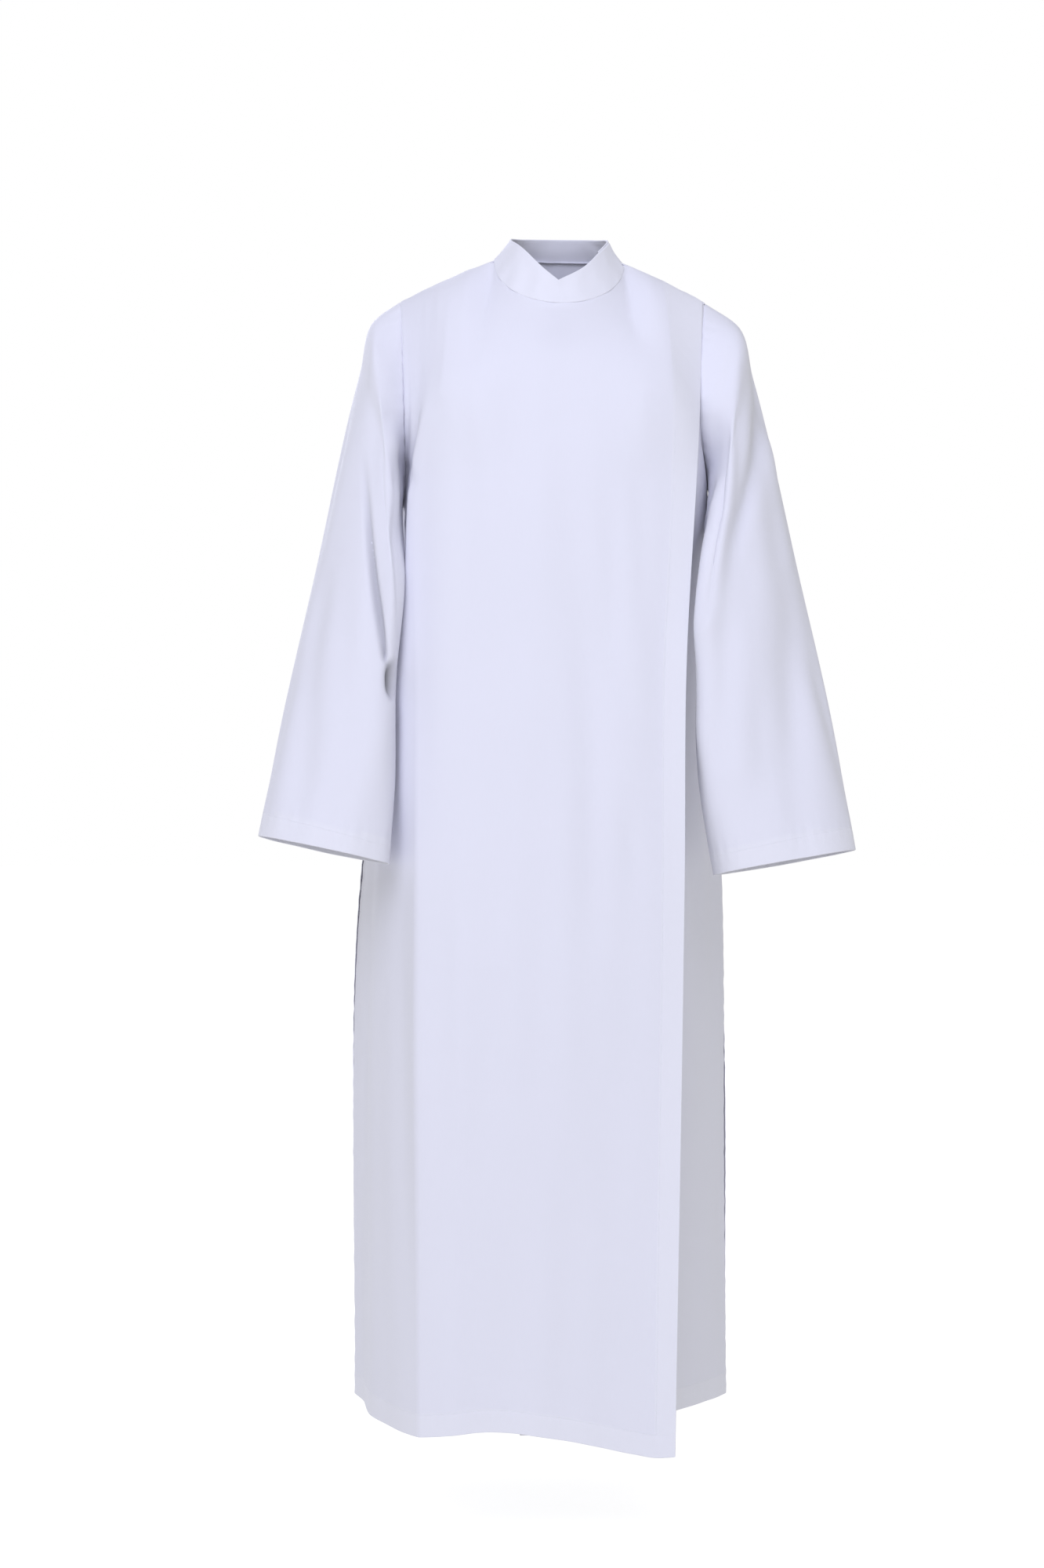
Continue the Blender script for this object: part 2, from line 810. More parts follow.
@dataclass(frozen=True)
class Stitching:
    """A row of lockstitches: how long each is, the gap to the next and the thread's radius.

    bends are where along a stitch its thread bends, and lifts how high it lies there, in radii.
    """

    length: float = 0.0029
    gap: float = 0.0006
    radius: float = 0.00019
    bends: tuple[float, ...] = (0.0, 0.22, 0.78, 1.0)
    lifts: tuple[float, ...] = (-0.9, 0.75, 0.75, -0.9)

    def along(self, path: np.ndarray, outward: np.ndarray) -> tuple[np.ndarray, np.ndarray]:
        """Makes the stitches along a line on the cloth.

        Args:
            path: Points of the line, on the cloth's face.
            outward: The cloth's normals there.

        Returns:
            The vertices and quads of all the stitches.
        """
        run = lengths_along(path, 0)
        pitch = self.length + self.gap
        count = max(int(run[-1] / pitch), 1)
        starts = (np.arange(count) + 0.5 * self.gap / pitch) * run[-1] / count
        lifts = np.array(self.lifts) * self.radius
        at = starts[:, None] + np.array(self.bends) * self.length
        centre = np.stack([np.interp(at, run, path[:, i]) for i in range(3)], axis=-1)
        up = unit(np.stack([np.interp(at, run, outward[:, i]) for i in range(3)], axis=-1))
        ahead = unit(centre[:, -1:] - centre[:, :1])
        aside = unit(np.cross(ahead, up))
        centre = centre + up * lifts[None, :, None]
        corners = [centre + aside * self.radius, centre + up * self.radius]
        corners += [centre - aside * self.radius, centre - up * self.radius]
        vertices = np.stack(corners, axis=2)
        index = np.arange(vertices[..., 0].size).reshape(vertices.shape[:3])
        faces = []
        for section in range(len(self.bends) - 1):
            for corner in range(len(corners)):
                beside = (corner + 1) % len(corners)
                quad = [
                    index[:, section, corner],
                    index[:, section, beside],
                    index[:, section + 1, beside],
                    index[:, section + 1, corner],
                ]
                faces.append(np.stack(quad, axis=-1))
        faces.append(index[:, 0, ::-1])
        faces.append(index[:, -1])
        return vertices.reshape(-1, 3), np.concatenate(faces)


def stitch_object(name: str, rows: StitchRows, sewing: Stitching) -> bpy.types.Object:
    """Sews rows of stitches and joins them into one object.

    Args:
        name: The object's name.
        rows: A path and its normals for each row.
        sewing: The stitches' sizes.

    Returns:
        The new object.
    """
    vertices, faces, base = [], [], 0
    for path, outward in rows:
        some_vertices, some_faces = sewing.along(path, outward)
        vertices.append(some_vertices)
        faces.append(some_faces + base)
        base += len(some_vertices)
    return mesh_object(name, np.concatenate(vertices), np.concatenate(faces))


# ---------------------------------------------------------------------------------------------
# Finishes

Value = float | tuple[float, ...] | bpy.types.NodeSocket


def add_socket(
    group: bpy.types.NodeTree, name: str, direction: str, value: float | None = None
) -> None:
    """Adds a socket for a number to a shader node group.

    Args:
        group: The group.
        name: The socket's name.
        direction: INPUT or OUTPUT.
        value: Its value where nothing is linked to it.
    """
    socket = group.interface.new_socket(name=name, in_out=direction, socket_type="NodeSocketFloat")
    if value is not None:
        socket.default_value = value


@dataclass
class NodeBuilder:
    """Places nodes in a tree and links them."""

    tree: bpy.types.NodeTree

    def add(
        self, kind: str, inputs: dict[str | int, Value] | None = None, **settings: object
    ) -> bpy.types.Node:
        """Places a node.

        Args:
            kind: The node's type, such as ShaderNodeMath.
            inputs: Values or output sockets for its inputs, by name or number.
            settings: The node's own properties.

        Returns:
            The node.
        """
        node = self.tree.nodes.new(kind)
        for name, value in settings.items():
            setattr(node, name, value)
        self.give(node, inputs or {})
        return node

    def give(self, node: bpy.types.Node, inputs: dict[str | int, Value]) -> None:
        """Gives a node's inputs their values and links.

        Args:
            node: The node.
            inputs: Values or output sockets for its inputs, by name or number.
        """
        for key, value in inputs.items():
            if isinstance(value, bpy.types.NodeSocket):
                self.tree.links.new(value, node.inputs[key])
            else:
                node.inputs[key].default_value = value

    def math(self, operation: str, first: Value, second: Value = 0.0) -> bpy.types.NodeSocket:
        """Places a Math node and gives its output.

        Args:
            operation: What it does.
            first: Its first value or socket.
            second: Its second one.

        Returns:
            The output socket.
        """
        return self.add("ShaderNodeMath", {0: first, 1: second}, operation=operation).outputs[0]

    def swing(self, noise: bpy.types.NodeSocket, size: Value) -> bpy.types.NodeSocket:
        """Scales a noise so that it swings about zero."""
        return self.math("MULTIPLY", self.math("SUBTRACT", noise, 0.5), size)


@dataclass(frozen=True)
class Weave:
    """Plain woven cloth, in UVs measured in metres.

    wobble is how far the threads drift sideways, crossing and roundness are how high they cross
    and how round each is, and roughening is how far the slubs change the cloth's roughness. The
    scales are those of the noises behind them.
    """

    wobble: float = 0.9
    wobble_scale: float = 260.0
    crossing: float = 0.5
    roundness: float = 0.7
    slub_scale: tuple[float, float, float] = (900.0, 45.0, 1.0)
    mottle_scale: float = 9.0
    roughening: float = 0.12

    def group(self) -> bpy.types.NodeTree:
        """Builds the shader node group.

        Returns:
            A group that puts out the threads' Height, a Tone that varies a little from thread to
            thread and place to place, and how much rougher (Rough) the cloth is there.
        """
        group = bpy.data.node_groups.new("woven cloth", "ShaderNodeTree")
        add_socket(group, "Thread", "INPUT", 0.00042)
        add_socket(group, "Slub", "INPUT", 0.35)
        add_socket(group, "Mottle", "INPUT", 0.02)
        for name in ("Height", "Tone", "Rough"):
            add_socket(group, name, "OUTPUT")
        build = NodeBuilder(group)
        given = build.add("NodeGroupInput").outputs
        place = build.add("ShaderNodeUVMap", uv_map="cloth").outputs[0]
        split = build.add("ShaderNodeSeparateXYZ", {0: place})
        pitch = build.math("MULTIPLY", given["Thread"], 2.0)
        noise = {"Vector": place, "Scale": self.wobble_scale, "Detail": 1.0}
        drift = build.swing(build.add("ShaderNodeTexNoise", noise).outputs[0], self.wobble)
        waves = []
        for axis in (0, 1):
            turns = build.math("DIVIDE", split.outputs[axis], pitch)
            angle = build.math("MULTIPLY", build.math("ADD", turns, drift), 2 * math.pi)
            waves.append(build.math("SINE", angle))
        over = build.math("MULTIPLY", build.math("MULTIPLY", *waves), self.crossing)
        threads = build.math("MINIMUM", *(build.math("ABSOLUTE", wave) for wave in waves))
        threads = build.math("MULTIPLY", threads, self.roundness)
        stretch = build.add("ShaderNodeMapping", {"Vector": place, "Scale": self.slub_scale})
        noise = {"Vector": stretch.outputs[0], "Scale": 1.0, "Detail": 2.0}
        slubs = build.add("ShaderNodeTexNoise", noise).outputs[0]
        slub_height = build.math("MULTIPLY", slubs, given["Slub"])
        height = build.math("ADD", build.math("ADD", over, threads), slub_height)
        noise = {"Vector": place, "Scale": self.mottle_scale, "Detail": 4.0}
        soft = build.swing(build.add("ShaderNodeTexNoise", noise).outputs[0], given["Mottle"])
        fine = build.swing(slubs, given["Mottle"])
        tone = build.math("ADD", build.math("ADD", soft, fine), 1.0)
        rough = build.swing(slubs, self.roughening)
        build.add("NodeGroupOutput", {"Height": height, "Tone": tone, "Rough": rough})
        return group


@dataclass(frozen=True)
class ClothFinish:
    """White polyester: its colour where single and where doubled, roughness, sheen and weave."""

    name: str
    single: tuple[float, float, float]
    doubled: tuple[float, float, float]
    roughness: float = 0.62
    sheen: float = 0.18
    sheen_roughness: float = 0.4
    specular: float = 0.35
    weave_depth: float = 0.00006
    thread: float = 0.00042

    def material(self, weave: bpy.types.NodeTree) -> bpy.types.Material:
        """Makes the material.

        Args:
            weave: The group that weaves cloth.

        Returns:
            The material.
        """
        material = bpy.data.materials.new(self.name)
        material.use_nodes = True
        build = NodeBuilder(material.node_tree)
        surface = material.node_tree.nodes["Principled BSDF"]
        cloth = build.add("ShaderNodeGroup", node_tree=weave)
        cloth.inputs["Thread"].default_value = self.thread
        layers = build.add("ShaderNodeAttribute", attribute_name="layers")
        grey = build.add("ShaderNodeAttribute", attribute_name="grey")
        colours = {0: layers.outputs["Fac"], 6: (*self.single, 1.0), 7: (*self.doubled, 1.0)}
        colour = build.add("ShaderNodeMix", colours, data_type="RGBA").outputs[2]
        clean = build.math("SUBTRACT", 1.0, grey.outputs["Fac"])
        tone = build.math("MULTIPLY", cloth.outputs["Tone"], clean)
        toned = build.add("ShaderNodeVectorMath", {0: colour}, operation="SCALE")
        build.give(toned, {"Scale": tone})
        bump = build.add("ShaderNodeBump", {"Height": cloth.outputs["Height"], "Strength": 1.0})
        bump.inputs["Distance"].default_value = self.weave_depth
        rough = build.math("ADD", cloth.outputs["Rough"], self.roughness)
        linked = {"Base Color": toned.outputs[0], "Normal": bump.outputs[0], "Roughness": rough}
        build.give(surface, linked)
        surface.inputs["Sheen Weight"].default_value = self.sheen
        surface.inputs["Sheen Roughness"].default_value = self.sheen_roughness
        surface.inputs["Specular IOR Level"].default_value = self.specular
        return material


@dataclass(frozen=True)
class ThreadFinish:
    """Polyester sewing thread, a little brighter than the cloth."""

    name: str = "white thread"
    colour: tuple[float, float, float] = (0.84, 0.84, 0.89)
    roughness: float = 0.45
    twist_scale: float = 1400.0
    twist_tone: tuple[float, float] = (0.93, 1.03)

    def material(self) -> bpy.types.Material:
        """Makes the material, with the thread's twist in its colour.

        Returns:
            The material.
        """
        material = bpy.data.materials.new(self.name)
        material.use_nodes = True
        build = NodeBuilder(material.node_tree)
        surface = material.node_tree.nodes["Principled BSDF"]
        place = build.add("ShaderNodeTexCoord").outputs["Object"]
        noise = {"Vector": place, "Scale": self.twist_scale, "Detail": 1.0}
        twist = build.add("ShaderNodeTexNoise", noise).outputs[0]
        dark, light = self.twist_tone
        spans = {"Value": twist, "From Min": 0.3, "From Max": 0.7, "To Min": dark, "To Max": light}
        tone = build.add("ShaderNodeMapRange", spans).outputs[0]
        toned = build.add("ShaderNodeVectorMath", {0: self.colour}, operation="SCALE")
        build.give(toned, {"Scale": tone})
        build.give(surface, {"Base Color": toned.outputs[0]})
        surface.inputs["Roughness"].default_value = self.roughness
        return material


CLOTH = ClothFinish("white polyester", (0.79, 0.79, 0.86), (0.81, 0.81, 0.87))
THREAD = ThreadFinish()


@dataclass(frozen=True)
class Workroom:
    """The materials and sewing that the pieces share."""

    cloth: bpy.types.Material
    thread: bpy.types.Material
    sewing: Stitching

    def dress(self, piece: bpy.types.Object, material: bpy.types.Material) -> None:
        """Gives a piece its material, its slot in the record and its body.

        Args:
            piece: The piece.
            material: Its material.
        """
        piece.data.materials.append(material)
        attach(piece, BODY)

    def sew(self, name: str, rows: StitchRows) -> bpy.types.Object:
        """Sews a piece's rows of stitches.

        Args:
            name: The piece's name.
            rows: A path and its normals for each row.

        Returns:
            The stitches, as one object.
        """
        stitches = stitch_object(name + "_stitching", rows, self.sewing)
        self.dress(stitches, self.thread)
        return stitches


# ---------------------------------------------------------------------------------------------
# Body panels


# The least distance between an even place and a special one, as a share of the even steps
LEAST_STEP = 0.45


def spread(length: float, step: float, special: tuple[float, ...]) -> np.ndarray:
    """Spaces places evenly along a length, making room for some special ones.

    Args:
        length: The length.
        step: The usual distance between places.
        special: The places that have to be there, if they lie on the length.

    Returns:
        The places, from 0 to the length.
    """
    even = np.linspace(0, length, max(int(round(length / step)), 2) + 1)
    special = np.array([place for place in special if 0 <= place <= length])
    if len(special):
        nearest = np.min(np.abs(even[:, None] - special[None, :]), axis=1)
        even = even[nearest > LEAST_STEP * step]
    return np.unique(np.round(np.concatenate([[0, length], even, special]), 7))


# How far the seeds of a panel's hems lie from those of its seams
HEM_SEEDS = 10


@dataclass(frozen=True)
class BodyPanel:
    """A front or the back: its lines, folds and creases, and how it is cut and finished.

    side is -1 for a front and 1 for the back. edge_hem says that its last edge is hemmed, and not
    sewn to another panel. The inset is how far an underlap lies inside the panel over it, at the
    seam and at the breast. flat and area are the size that it is cut to. slow_share of its waves
    grows over the first slow_reach of cloth from its top, and the rest over the first quick_reach.
    """

    name: str
    lines: tuple[Line, ...]
    side: int
    folds: tuple[Fold, ...]
    creases: tuple[Crease, ...]
    unevenness: Unevenness
    flat: tuple[float, float]
    area: float
    edge_hem: bool = False
    inset: tuple[float, float] = (0.0, 0.0)
    seed: int = 1
    slow_reach: float = 0.30
    quick_reach: float = 0.03
    slow_share: float = 0.85

    def facing(self) -> float:
        """Says which way round the columns run, so that normals point out of the robe."""
        return -math.copysign(1, self.lines[-1].hip[0] - self.lines[0].hip[0]) * self.side

    def knots(self) -> np.ndarray:
        """Measures where the lines are across the panel, at hip level."""
        hips = np.array([line.hip for line in self.lines]) * MM
        return np.concatenate([[0], np.cumsum(np.linalg.norm(np.diff(hips, axis=0), axis=1))])

    def smooth_points(self, places: np.ndarray, down: np.ndarray) -> np.ndarray:
        """Works out the panel's points before it is folded.

        Args:
            places: Places across it, in metres at hip level.
            down: Places down it, 0 to 1.

        Returns:
            The grid of points.
        """
        knots = self.knots()
        crease = np.array([line.crease for line in self.lines])

        def across(values: Sequence[Sequence[float]], sharpness: float) -> np.ndarray:
            """Carries the lines' values smoothly across the panel."""
            return curve_through(knots, np.array(values, float), places, crease * sharpness)

        tops = across([[line.top] for line in self.lines], 1)[:, 0]
        breasts = across([[line.breast_x] for line in self.lines], 0)[:, 0] * MM
        drops = across([[line.drop] for line in self.lines], 0)[:, 0] * MM
        chest = across([line.chest for line in self.lines], CHEST_SHARPNESS) * MM
        waist = across([line.waist for line in self.lines], WAIST_SHARPNESS) * MM
        hip = across([line.hip for line in self.lines], 1) * MM
        hem = across([line.hem for line in self.lines], 1) * MM
        columns = []
        last_is_armhole = "armhole" in self.lines[-1].name
        for i, top in enumerate(tops):
            points = (
                UPPER_BODY.top_point(top, self.side),
                UPPER_BODY.breast_point(breasts[i], self.side),
                (*chest[i], CHEST_Z),
                (*waist[i], WAIST_Z),
                (*hip[i], HIP_Z),
                (*hem[i], HEM_Z - drops[i]),
            )
            from_armhole = places[i]
            if last_is_armhole:
                from_armhole = min(from_armhole, knots[-1] - places[i])
            corners = np.zeros(len(points))
            corners[2] = np.clip(1 - from_armhole / UNDERARM_REACH, 0, 1)
            slope = UPPER_BODY.first_slope(top)
            columns.append(curve_through(LINE_KNOTS, points, down, corners, slope))
        grid = np.array(columns).transpose(1, 0, 2)
        if any(self.inset):
            at_seam, at_breast = self.inset
            rows = (0, BREAST_ROW / 2, BREAST_ROW, CHEST_ROW)
            amount = np.interp(down, rows, (at_seam, at_breast, at_breast, 0))
            normals = ClothGrid(grid, places, down, self.facing()).outward()
            grid = grid - normals * amount[:, None, None]
        return grid

    def grid(self) -> ClothGrid:
        """Works out the panel as it hangs, with its folds, creases, seams and puckers.

        Returns:
            The middle of its cloth.
        """
        width, length = self.knots()[-1], -HEM_Z
        last_places = [width - place for place in SIZES.roll_places]
        if self.edge_hem:
            last_places = SIZES.hem_places(width)
        places = spread(width, SIZES.grid_step, (*SIZES.roll_places, *last_places))
        down = spread(length, SIZES.grid_step, (*SIZES.roll_places, *SIZES.hem_places(length)))
        cloth = ClothGrid(self.smooth_points(places, down / length), places, down, self.facing())
        cloth.press(sum(fold.depth_at(places / width, down / length) for fold in self.folds))
        cloth.add_creases(self.creases, self.unevenness.depth_at(places, down) * self.calm(cloth))
        cloth.press(self.seam_depths(cloth))
        upward = unit(cloth.points[0] - cloth.points[1])
        up, inward = SIZES.tuck
        cloth.tuck_in(cloth.points[0] + upward * up - cloth.outward()[0] * inward, up)
        return cloth

    def calm(self, cloth: ClothGrid) -> np.ndarray:
        """Finds how freely the cloth waves: not at all at its seams at the top, fully at the hem.

        Args:
            cloth: The panel's cloth.

        Returns:
            A share from 0 to 1 for each point.
        """
        down = cloth.from_edge(Edge.TOP)
        slow, quick = ease(down / self.slow_reach), ease(down / self.quick_reach)
        return self.slow_share * slow + (1 - self.slow_share) * quick

    def seam_depths(self, cloth: ClothGrid) -> np.ndarray:
        """Works out how the seams roll in and how seams and hems pucker.

        Args:
            cloth: The panel's cloth.

        Returns:
            The depths at each point.
        """
        depth = np.zeros(cloth.points.shape[:2])
        along_rows, along_columns = lengths_along(cloth.points, 1), lengths_along(cloth.points, 0)
        seams = [(Edge.TOP, along_rows), (Edge.FIRST, along_columns)]
        hems = [(Edge.HEM, along_rows)]
        (hems if self.edge_hem else seams).append((Edge.LAST, along_columns))
        for number, (edge, along) in enumerate(seams):
            away = cloth.from_edge(edge)
            depth += SIZES.rolled(away)
            depth += SEAM_PUCKER.depth_at(along, away, self.seed + number)
        for number, (edge, along) in enumerate(hems):
            away = np.abs(cloth.from_edge(edge) - SIZES.stitch_line())
            depth += SIZES.sunk(away)
            depth += HEM_PUCKER.depth_at(along, away, self.seed + HEM_SEEDS + number)
        return depth

    def turned(self, cloth: ClothGrid) -> np.ndarray:
        """Marks where the cloth is turned up.

        Args:
            cloth: The panel's cloth.

        Returns:
            0 where it is single and 1 where it is doubled.
        """
        turned = cloth.from_edge(Edge.HEM) <= SIZES.hem_depth + HAIR
        if self.edge_hem:
            turned |= (cloth.across[-1] - cloth.across[None, :]) <= SIZES.hem_depth + HAIR
        return turned.astype(float)

    def build(self, room: Workroom) -> bpy.types.Object:
        """Makes the panel and its stitching.

        Args:
            room: The shared materials and sewing.

        Returns:
            The panel's object.
        """
        cloth = self.grid()
        piece = hemmed_shell(self.name, cloth, self.turned(cloth))
        room.dress(piece, room.cloth)
        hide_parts(self.name + "_bodice", self.name + "_skirt")
        face, outward = hem_face(cloth), cloth.outward()
        row, column = stitch_index(cloth.down), stitch_index(cloth.across)
        rows = [(face[row], outward[row])]
        if self.edge_hem:
            rows = [(face[row, : column + 1], outward[row, : column + 1])]
            rows.append((face[: row + 1, column], outward[: row + 1, column]))
        stitches = room.sew(self.name, rows)
        return piece


FRONT_FOLDS = (
    Fold("breast trough", (0.745, 0.16), (0.800, 0.60), 0.010, 0.042, 6),
    Fold("underarm pull", (0.235, 0.10), (0.130, 0.38), 0.000, 0.042, 7),
    Fold("knee hollow", (0.560, 0.60), (0.540, 1.30), 0.000, 0.090, 8),
    Fold("side hollow", (0.100, 0.45), (0.090, 1.30), 0.000, 0.060, 6),
)

BACK_FOLDS = (
    Fold("left flute", (0.205, 0.34), (0.190, 1.40), 0.000, 0.050, 13),
    Fold("left middle flute", (0.390, 0.28), (0.380, 1.40), 0.010, 0.052, 14),
    Fold("right middle flute", (0.600, 0.32), (0.615, 1.40), -0.010, 0.050, 14),
    Fold("right flute", (0.790, 0.30), (0.815, 1.40), 0.000, 0.050, 13),
    Fold("blade hollow", (0.500, 0.08), (0.500, 0.40), 0.000, 0.110, 6),
)

UNDER_FOLDS = (Fold("knee flute", (0.420, 0.50), (0.420, 1.40), 0.000, 0.090, 8),)

FRONT_CREASES = (
    Crease(((2, -50), (2, -80), (2, -118)), 30, 0.8, 0.0, (0.1, 0.5), grey=0.035),
    Crease(((75, -45), (96, -73), (115, -102)), 8, 0.9, -0.3),
    Crease(((89, -143), (97, -153), (105, -164)), 8, 0.6),
    Crease(((61, -225), (69, -350), (82, -525), (118, -575)), 17, 3.0, -0.3, (0.35, 0.25)),
    Crease(((81, -640), (91, -711), (101, -790)), 14, 1.8, -0.2, (0.4, 0.5)),
    Crease(((97, -216), (102, -350), (106, -500)), 14, 2.0, 0.0, (0.3, 0.5)),
    Crease(((-60, -300), (-54, -420), (-50, -560)), 22, 1.0, 0.2, (0.5, 0.5)),
    Crease(((20, -330), (26, -470), (24, -640)), 20, 0.9, -0.2, (0.5, 0.5)),
    Crease(((-150, -160), (-140, -210), (-128, -250)), 10, 0.8, 0.3, (0.2, 0.6)),
    Crease(((-187, -232), (-181, -254), (-176, -282)), 6, 2.6, -0.3, (0.3, 0.4)),
    Crease(((-190, -330), (-188, -480), (-187, -640), (-190, -760)), 10, -5.0, 0.0, (0.3, 0.3)),
    Crease(((60, -900), (66, -1080), (62, -1300)), 26, 1.6, 0.0, (0.5, 0.4)),
    Crease(((-70, -980), (-64, -1150), (-68, -1420)), 24, 1.2, 0.2, (0.5, 0.2)),
)

BACK_CREASES = (
    Crease(((-96, -50), (-118, -90), (-134, -150)), 11, 1.4, 0.3, facing=Facing.BACK),
    Crease(((92, -52), (112, -96), (126, -140)), 10, 1.1, -0.3, facing=Facing.BACK),
    Crease(((-150, -180), (-120, -260), (-104, -360)), 14, 2.2, 0.4, facing=Facing.BACK),
    Crease(((148, -170), (122, -240), (108, -330)), 13, 1.8, -0.4, facing=Facing.BACK),
    Crease(((-40, -300), (-46, -420), (-44, -600)), 16, 2.0, 0.2, (0.3, 0.5), facing=Facing.BACK),
    Crease(((52, -340), (58, -460), (54, -640)), 15, 1.8, -0.2, (0.3, 0.5), facing=Facing.BACK),
    Crease(((4, -620), (0, -820), (6, -1060)), 22, 2.2, 0.0, (0.5, 0.5), facing=Facing.BACK),
)

UNDER_CREASES = (
    Crease(((168, -300), (160, -420), (166, -560)), 12, 1.8, 0.3),
    Crease(((172, -640), (176, -820), (172, -1050)), 14, 1.4, 0.0, (0.4, 0.5)),
    Crease(((190, -900), (196, -1080), (198, -1300)), 14, 1.2, 0.2, (0.4, 0.4)),
)

# ---------------------------------------------------------------------------------------------
# Sleeves


@dataclass(frozen=True)
class Ring:
    """One ring of a sleeve. Its x counts outwards on either side of the body.

    along is its place from 0 at the armhole to 1 at the cuff, outer and inner its points
    furthest from the body and nearest to it, depth half its size from front to back, and
    back_drop how much lower its back hangs than its front. It is an ellipse where shaped is 0,
    and squarer in front by the body where it is 1.
    """

    name: str
    along: float
    outer: tuple[float, float, float]
    inner: tuple[float, float, float]
    depth: float
    back_drop: float
    shaped: float


LEFT_RINGS = (
    Ring("cap", 0.06, (227, -2, -68), (192, -20, -294), 71, 0, 0),
    Ring("underarm", 0.14, (245, -5, -130), (184, -56, -332), 64, 0, 0.3),
    Ring("upper arm", 0.24, (263, -8, -198), (174, -92, -382), 58, 0, 0.7),
    Ring("elbow", 0.50, (305, -26, -390), (172, -106, -500), 62, 4, 1),
    Ring("forearm", 0.80, (345, -62, -580), (174, -108, -640), 66, 10, 1),
    Ring("cuff", 1.00, (367, -88, -711), (193, -106, -741), 67, 14, 1),
)

RIGHT_RINGS = (
    Ring("cap", 0.06, (229, -2, -63), (192, -20, -293), 72, 0, 0),
    Ring("underarm", 0.14, (245, -3, -124), (190, -62, -332), 60, 0, 0.4),
    Ring("upper arm", 0.24, (263, -4, -192), (188, -100, -380), 50, 0, 0.9),
    Ring("elbow", 0.50, (303.5, -26, -385), (197, -108, -500), 58, 4, 1),
    Ring("forearm", 0.80, (344, -64, -570), (199, -112, -635), 64, 10, 1),
    Ring("cuff", 1.00, (367.5, -88, -694), (206.5, -114, -727), 65, 14, 1),
)

# Across a sleeve runs from its outer edge over its front, and is 0.5 at its inner edge
LEFT_SLEEVE_FOLDS = (
    Fold("shoulder trough", (0.130, 0.05), (0.340, 0.78), 0.060, 0.060, 5),
    Fold("armhole trough", (0.270, 0.02), (0.400, 0.40), 0.000, 0.046, 6),
    Fold("outer hollow", (0.100, 0.45), (0.250, 1.10), 0.010, 0.050, 8),
    Fold("back trough", (0.860, 0.05), (0.640, 0.75), -0.040, 0.045, 5),
    Fold("back hollow", (0.900, 0.40), (0.790, 1.10), 0.000, 0.055, 8),
)

RIGHT_SLEEVE_FOLDS = (
    Fold("shoulder trough", (0.165, 0.05), (0.400, 0.66), 0.000, 0.050, 4),
    Fold("armhole trough", (0.330, 0.02), (0.450, 0.40), 0.000, 0.042, 3),
    Fold("outer hollow", (0.110, 0.45), (0.180, 1.10), 0.010, 0.050, 5),
    Fold("back trough", (0.850, 0.05), (0.620, 0.70), -0.040, 0.070, 4),
    Fold("back hollow", (0.890, 0.42), (0.800, 1.10), 0.000, 0.055, 8),
)

LEFT_SLEEVE_CREASES = (
    Crease(
        ((248, -92), (254, -136), (253, -190), (240, -264), (218, -338), (204, -430)),
        11, 8.5, 0.0, (0.15, 0.5), grey=0.10,
    ),
    Crease(((257, -130), (265, -190), (267, -260), (260, -330)), 10, -3.0, 0.0, (0.4, 0.5)),
    Crease(
        ((192, -222), (190, -262), (184, -310), (178, -360), (175, -430)),
        16, -10.0, 0.0, (0.25, 0.5),
    ),
    Crease(((174, -370), (172, -480), (172, -640)), 14, -6.0, 0.0, (0.3, 0.3)),
    Crease(((-56, -266), (-62, -298), (-74, -328)), 20, -7.0, 0.0, (0.4, 0.4), Facing.RIGHT),
    Crease(((219, -92), (213, -118), (204, -146), (197, -176)), 6, 1.8, 0.3, (0.25, 0.4)),
    Crease(((186, -160), (190, -205), (189, -240), (181, -290)), 12, 5.0, 0.0, (0.4, 0.35)),
    Crease(((284, -380), (278, -510), (270, -680)), 26, 4.0, -0.2, (0.4, 0.3)),
    Crease(((244, -240), (240, -330), (232, -450)), 16, 1.4, -0.3, (0.4, 0.4)),
    Crease(((250, -480), (244, -580), (236, -700)), 20, 1.8, 0.0, (0.5, 0.3)),
    Crease(((222, -90), (232, -190), (216, -330)), 13, 6.0, 0.3, (0.15, 0.4), Facing.BACK),
    Crease(((262, -330), (270, -460), (264, -640)), 22, 3.5, 0.2, (0.4, 0.4), Facing.BACK),
    Crease(((-20, -150), (-34, -300), (-60, -470)), 16, 3.0, 0.2, (0.3, 0.5), Facing.LEFT),
    Crease(((-74, -420), (-82, -540), (-92, -690)), 15, 2.2, 0.0, (0.4, 0.3), Facing.LEFT),
)

